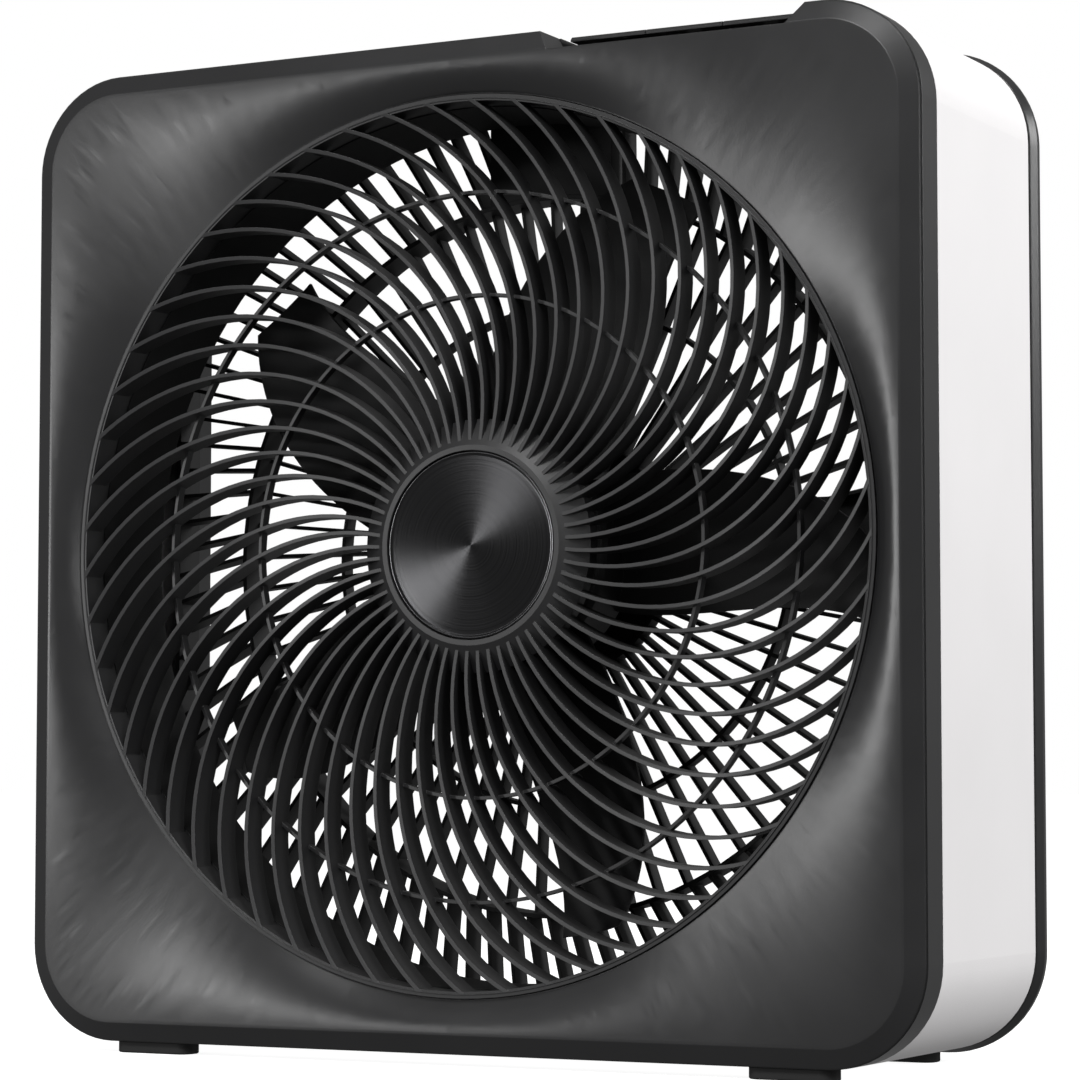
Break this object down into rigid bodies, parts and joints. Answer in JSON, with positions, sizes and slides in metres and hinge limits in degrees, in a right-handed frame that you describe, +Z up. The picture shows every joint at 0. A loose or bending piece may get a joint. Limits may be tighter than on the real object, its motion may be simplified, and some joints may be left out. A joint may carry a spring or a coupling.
{
  "type": "box fan",
  "caption": "Square upright box fan with a round bowed grille, bladed impeller on a motor, push keys in a top notch and a white side band.",
  "frame": {"origin": "on the floor, under the middle of the whole fan", "axes": "+X to the right seen from the front, +Y from the front grille to the rear guard, +Z up"},
  "size_m": [0.5206, 0.172, 0.5285],
  "materials": {
    "shell_charcoal": "satin moulded",
    "grille_charcoal": "satin moulded",
    "blade_charcoal": "satin moulded",
    "key_charcoal": "satin moulded",
    "inner_black": "fine grain",
    "band_white": "fine grain",
    "spun_metal": "turned with fine rings",
    "steel": "satin",
    "screw_steel": "zinc plated",
    "aluminium": "cast",
    "copper": "enamelled wire",
    "bronze": "satin",
    "motor_paint": "satin black",
    "nylon": "natural nylon",
    "capacitor_grey": "smooth",
    "rubber": "soft",
    "lead_black": "smooth sheath"
  },
  "bodies": {
    "housing": {"air_duct": "inner_black", "badge_disc": "spun_metal", "button_spring_left": "screw_steel", "button_spring_middle": "screw_steel", "button_spring_right": "screw_steel", "channel_screws": "screw_steel", "control_tray": "inner_black", "cord_gland": "rubber", "duct_screws": "screw_steel", "foot_front_left": "rubber", "foot_front_right": "rubber", "foot_rear_left": "rubber", "foot_rear_right": "rubber", "front_grille": "grille_charcoal", "front_shell": "shell_charcoal", "guard_screws": "screw_steel", "lead_clips": "nylon", "motor_bolts": "screw_steel", "motor_cap": "inner_black", "motor_front_cover": "motor_paint", "motor_mount_screws": "screw_steel", "motor_rear_cover": "motor_paint", "rear_guard": "inner_black", "rear_shell": "shell_charcoal", "run_capacitor": "capacitor_grey", "shaft_bushes": "bronze", "shell_screws": "screw_steel", "side_band": "band_white", "stator_core": "steel", "stator_windings": "copper", "switch_body": "nylon", "switch_lead": "lead_black", "switch_screws": "screw_steel", "switch_terminals": "bronze", "wiring_channel": "inner_black"},
    "impeller": {"impeller": "blade_charcoal", "impeller_nut": "inner_black", "motor_shaft": "steel", "rotor_core": "steel", "rotor_end_rings": "aluminium", "thrust_washers": "nylon"},
    "key_left": {"button_left": "key_charcoal"},
    "key_middle": {"button_middle": "key_charcoal"},
    "key_right": {"button_right": "key_charcoal"}
  },
  "joints": [
    {"name": "impeller_spin", "type": "hinge", "parent": "housing", "child": "impeller", "pos_m": [0, 0, 0.2662], "axis": [0, -1, 0], "continuous": true},
    {"name": "left_key_press", "type": "slide", "parent": "housing", "child": "key_left", "axis": [0, 0, -1], "range_m": [0, 0.003], "stiffness_N_per_m": 400, "springref_m": -0.001, "deforming": ["button_spring_left"]},
    {"name": "middle_key_press", "type": "slide", "parent": "housing", "child": "key_middle", "axis": [0, 0, -1], "range_m": [0, 0.003], "stiffness_N_per_m": 400, "springref_m": -0.001, "deforming": ["button_spring_middle"]},
    {"name": "right_key_press", "type": "slide", "parent": "housing", "child": "key_right", "axis": [0, 0, -1], "range_m": [0, 0.003], "stiffness_N_per_m": 400, "springref_m": -0.001, "deforming": ["button_spring_right"]}
  ]
}
